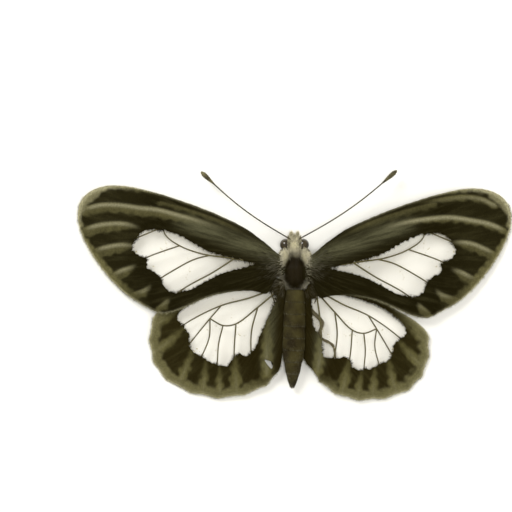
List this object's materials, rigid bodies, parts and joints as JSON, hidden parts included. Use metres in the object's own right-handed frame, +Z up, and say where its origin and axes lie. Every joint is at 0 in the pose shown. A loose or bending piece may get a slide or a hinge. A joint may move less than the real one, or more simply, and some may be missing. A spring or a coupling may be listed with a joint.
{
  "type": "spread butterfly specimen",
  "caption": "Dry spread butterfly lying on its underside: dark scaled wings with clear veined windows, furry grey head and thorax, ringed abdomen, clubbed antennae and folded legs.",
  "frame": {"origin": "middle of the flat underside of the thorax, on the surface that the specimen lies on", "axes": "+Y towards the head, +Z up out of the back, +X towards the insect's right wings"},
  "size_m": [0.1002, 0.0534, 0.0064],
  "materials": {
    "forewing_scales": "matt black-olive wing scales, faint silky sheen along the veins",
    "hindwing_scales": "matt dark olive-brown wing scales",
    "grey_hair": "short grey-olive hair",
    "thorax_hair": "dark hair over dark chitin, with a pale ring of longer hair",
    "abdomen_hair": "dark olive-brown scales on rings, finely haired",
    "palp_hair": "pale cream-grey hair",
    "eye": "glossy dark brown faceted eye",
    "antenna": "dark ringed antenna with a brown club",
    "tongue": "smooth dark brown chitin",
    "leg": "dark chitin, satin, finely haired"
  },
  "bodies": {
    "root": {"head": "grey_hair", "thorax": "thorax_hair", "abdomen": "abdomen_hair", "proboscis": "tongue", "forewing_left": "forewing_scales", "hindwing_left": "hindwing_scales", "eye_left": "eye", "palp_left": "palp_hair", "antenna_left": "antenna", "foreleg_left": "leg", "midleg_left": "leg", "hindleg_left": "leg", "forewing_right": "forewing_scales", "hindwing_right": "hindwing_scales", "eye_right": "eye", "palp_right": "palp_hair", "antenna_right": "antenna", "foreleg_right": "leg", "midleg_right": "leg", "hindleg_right": "leg"}
  },
  "joints": []
}
